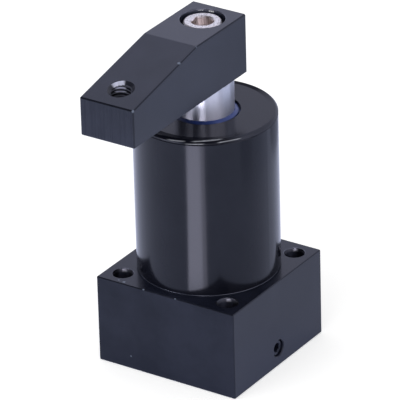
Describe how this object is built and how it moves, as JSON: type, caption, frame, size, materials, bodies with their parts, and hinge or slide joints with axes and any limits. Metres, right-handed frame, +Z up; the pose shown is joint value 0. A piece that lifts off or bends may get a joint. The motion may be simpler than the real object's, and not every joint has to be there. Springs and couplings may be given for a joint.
{
  "type": "swing clamp cylinder",
  "caption": "Square-based hydraulic swing clamp: a rod lifts and turns a sloped arm, then pulls it straight down onto a workpiece.",
  "frame": {"origin": "middle of the base block's underside, on the rod axis", "axes": "+Z up along the rod; the clamp arm points along -Y when it clamps; +X is the face with the channel plug screw; the oil ports are in the +Y face"},
  "size_m": [0.055, 0.0845, 0.1232],
  "materials": {
    "black_steel": "black oxide, satin, over ground and milled steel",
    "barrel_steel": "black oxide, polished, over fine turned steel",
    "rod_chrome": "ground and hard-chromed",
    "bright_steel": "plated",
    "hardened_steel": "hardened and ground",
    "bronze": "turned bearing bronze",
    "blue_polyurethane": "smooth moulded",
    "seal_rubber": "moulded nitrile",
    "bearing_plastic": "filled bearing plastic"
  },
  "bodies": {
    "housing": {"base_block": "black_steel", "barrel": "barrel_steel", "spigot_seal_ring": "seal_rubber", "channel_seal_ring": "seal_rubber", "channel_plug_screw": "black_steel", "guide_sleeve": "hardened_steel", "sleeve_dowel_pin": "hardened_steel", "rod_bush": "bronze", "rod_seal": "blue_polyurethane", "wiper_ring": "blue_polyurethane"},
    "ball_set": {"guide_balls": "hardened_steel"},
    "piston_set": {"piston": "hardened_steel", "piston_wear_ring": "bearing_plastic", "piston_slide_ring": "bearing_plastic", "piston_seal_ring": "seal_rubber", "piston_bore_ring": "seal_rubber"},
    "rod_and_arm": {"piston_rod": "rod_chrome", "piston_retaining_ring": "hardened_steel", "clamp_arm": "black_steel", "arm_screw": "bright_steel", "arm_locating_pin": "hardened_steel"}
  },
  "joints": [
    {"name": "clamp_stroke", "type": "slide", "parent": "housing", "child": "ball_set", "axis": [0, 0, 1], "range_m": [0, 0.01]},
    {"name": "swing_lift", "type": "slide", "parent": "ball_set", "child": "piston_set", "axis": [0, 0, 1], "range_m": [0, 0.012]},
    {"name": "arm_swing", "type": "hinge", "parent": "piston_set", "child": "rod_and_arm", "pos_m": [0, 0, 0.1], "axis": [0, 0, 1], "range_deg": [0, 90]}
  ],
  "couplings": [
    {"joint": "arm_swing", "follows": "swing_lift", "rad_per_m": 130.9}
  ]
}
